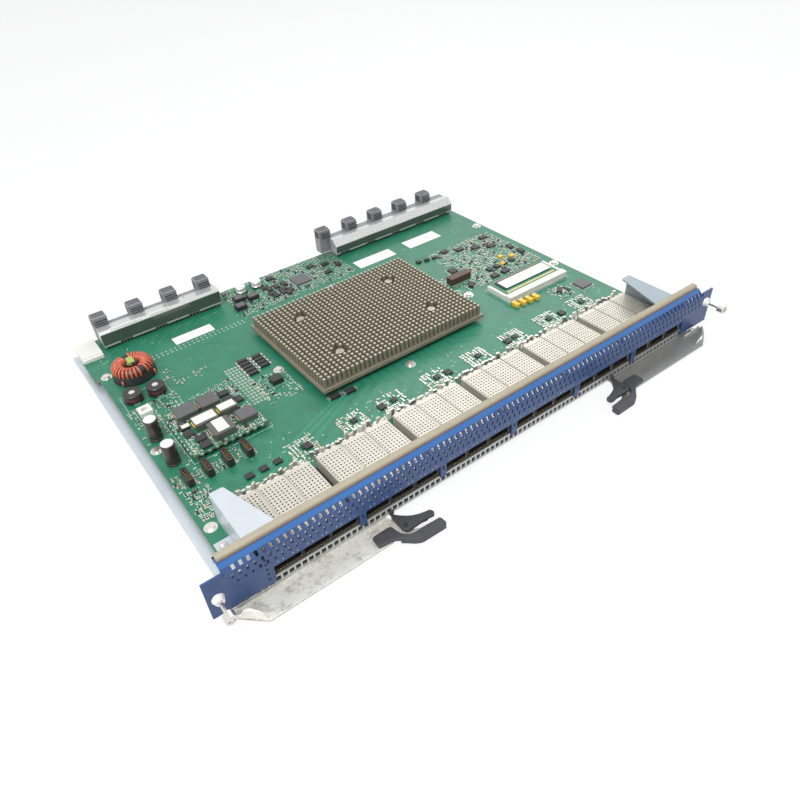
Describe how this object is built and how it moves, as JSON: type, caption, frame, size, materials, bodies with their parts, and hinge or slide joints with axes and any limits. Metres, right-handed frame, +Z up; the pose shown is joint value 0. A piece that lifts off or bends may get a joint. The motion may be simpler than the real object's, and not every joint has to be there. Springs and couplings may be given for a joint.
{
  "type": "switch line card",
  "caption": "Modular network switch line card: circuit board on a sheet-metal tray, ported blue front panel, pin-fin heat sink, ejector levers and captive screws.",
  "frame": {"origin": "under the middle of the card's bounding box, on the surface that the tray's side flanges stand on", "axes": "+X along the front panel to the right as seen from the front, +Y from the front panel to the backplane connectors, +Z up off the board's component side"},
  "size_m": [0.4676, 0.3646, 0.045],
  "materials": {
    "board_green": "solder mask over glass laminate",
    "standoff_metal": "plain",
    "screw_metal": "bright plated",
    "zinc_sheet": "zinc plated sheet",
    "panel_blue": "painted steel",
    "gasket_cloth": "conductive cloth over foam",
    "sink_aluminium": "anodised",
    "chip_black": "moulded",
    "connector_grey": "moulded",
    "cover_metal": "bright sheet",
    "white_plastic": "moulded",
    "coil_winding": "enamelled copper wire",
    "clip_plastic": "moulded",
    "ferrite": "sintered",
    "capacitor_sleeve": "heat-shrunk sleeve",
    "capacitor_can": "drawn can",
    "converter_green": "solder mask over glass laminate",
    "brown_plastic": "moulded",
    "black_plastic": "moulded",
    "grip_plastic": "moulded, fine grain",
    "lever_steel": "plated steel",
    "nickel": "nickel plated",
    "cage_metal": "tin plated sheet"
  },
  "bodies": {
    "card": {"board": "board_green", "board_screws": "screw_metal", "board_standoffs": "standoff_metal", "bulk_capacitors": "capacitor_sleeve", "carrier_tray": "zinc_sheet", "clock_chip": "chip_black", "control_chip": "chip_black", "converter_board": "converter_green", "converter_chips": "chip_black", "converter_cores": "ferrite", "converter_pins": "screw_metal", "emi_gasket": "gasket_cloth", "ferrules": "nickel", "filter_block": "brown_plastic", "front_panel": "panel_blue", "gusset_nuts": "screw_metal", "heat_sink": "sink_aluminium", "heat_sink_posts": "standoff_metal", "heat_sink_screws": "screw_metal", "hot_swap_chip": "ferrite", "inductors": "ferrite", "left_backplane_connector": "connector_grey", "left_connector_cover": "cover_metal", "left_gusset": "zinc_sheet", "left_pivot": "nickel", "memory_chips": "chip_black", "memory_module": "converter_green", "memory_socket": "black_plastic", "phy_chip": "chip_black", "pin_headers": "brown_plastic", "port_cage_1": "cage_metal", "port_cage_2": "cage_metal", "port_cage_3": "cage_metal", "port_cage_4": "cage_metal", "port_cage_5": "cage_metal", "port_cage_6": "cage_metal", "port_sockets": "black_plastic", "power_entry": "white_plastic", "power_terminal": "white_plastic", "right_backplane_connector": "connector_grey", "right_connector_cover": "cover_metal", "right_gusset": "zinc_sheet", "right_pivot": "nickel", "small_capacitors": "capacitor_can", "small_parts": "chip_black", "switch_chip": "chip_black", "toroid_base": "black_plastic", "toroid_clip": "clip_plastic", "toroid_coil": "coil_winding"},
    "left_lever_arm": {"left_lever": "lever_steel", "left_grip": "grip_plastic", "left_trigger_pin": "nickel"},
    "left_latch": {"left_trigger": "grip_plastic"},
    "right_lever_arm": {"right_lever": "lever_steel", "right_grip": "grip_plastic", "right_trigger_pin": "nickel"},
    "right_latch": {"right_trigger": "grip_plastic"},
    "left_captive_screw": {"left_thumbscrew": "nickel"},
    "right_captive_screw": {"right_thumbscrew": "nickel"}
  },
  "joints": [
    {"name": "left_lever_swing", "type": "hinge", "parent": "card", "child": "left_lever_arm", "pos_m": [-0.214, -0.1437, 0.00245], "axis": [0, 0, 1], "range_deg": [-35, 0]},
    {"name": "left_trigger_squeeze", "type": "hinge", "parent": "left_lever_arm", "child": "left_latch", "pos_m": [-0.1072, -0.1669, 0.0057], "axis": [0, 0, 1], "range_deg": [-5, 0], "stiffness_Nm_per_rad": 0.05},
    {"name": "right_lever_swing", "type": "hinge", "parent": "card", "child": "right_lever_arm", "pos_m": [0.214, -0.1437, 0.00245], "axis": [0, 0, 1], "range_deg": [0, 35]},
    {"name": "right_trigger_squeeze", "type": "hinge", "parent": "right_lever_arm", "child": "right_latch", "pos_m": [0.1072, -0.1669, 0.0057], "axis": [0, 0, 1], "range_deg": [0, 5], "stiffness_Nm_per_rad": 0.05},
    {"name": "left_screw_press", "type": "slide", "parent": "card", "child": "left_captive_screw", "axis": [0, 1, 0], "range_m": [0, 0.005], "stiffness_N_per_m": 200},
    {"name": "right_screw_press", "type": "slide", "parent": "card", "child": "right_captive_screw", "axis": [0, 1, 0], "range_m": [0, 0.005], "stiffness_N_per_m": 200}
  ]
}
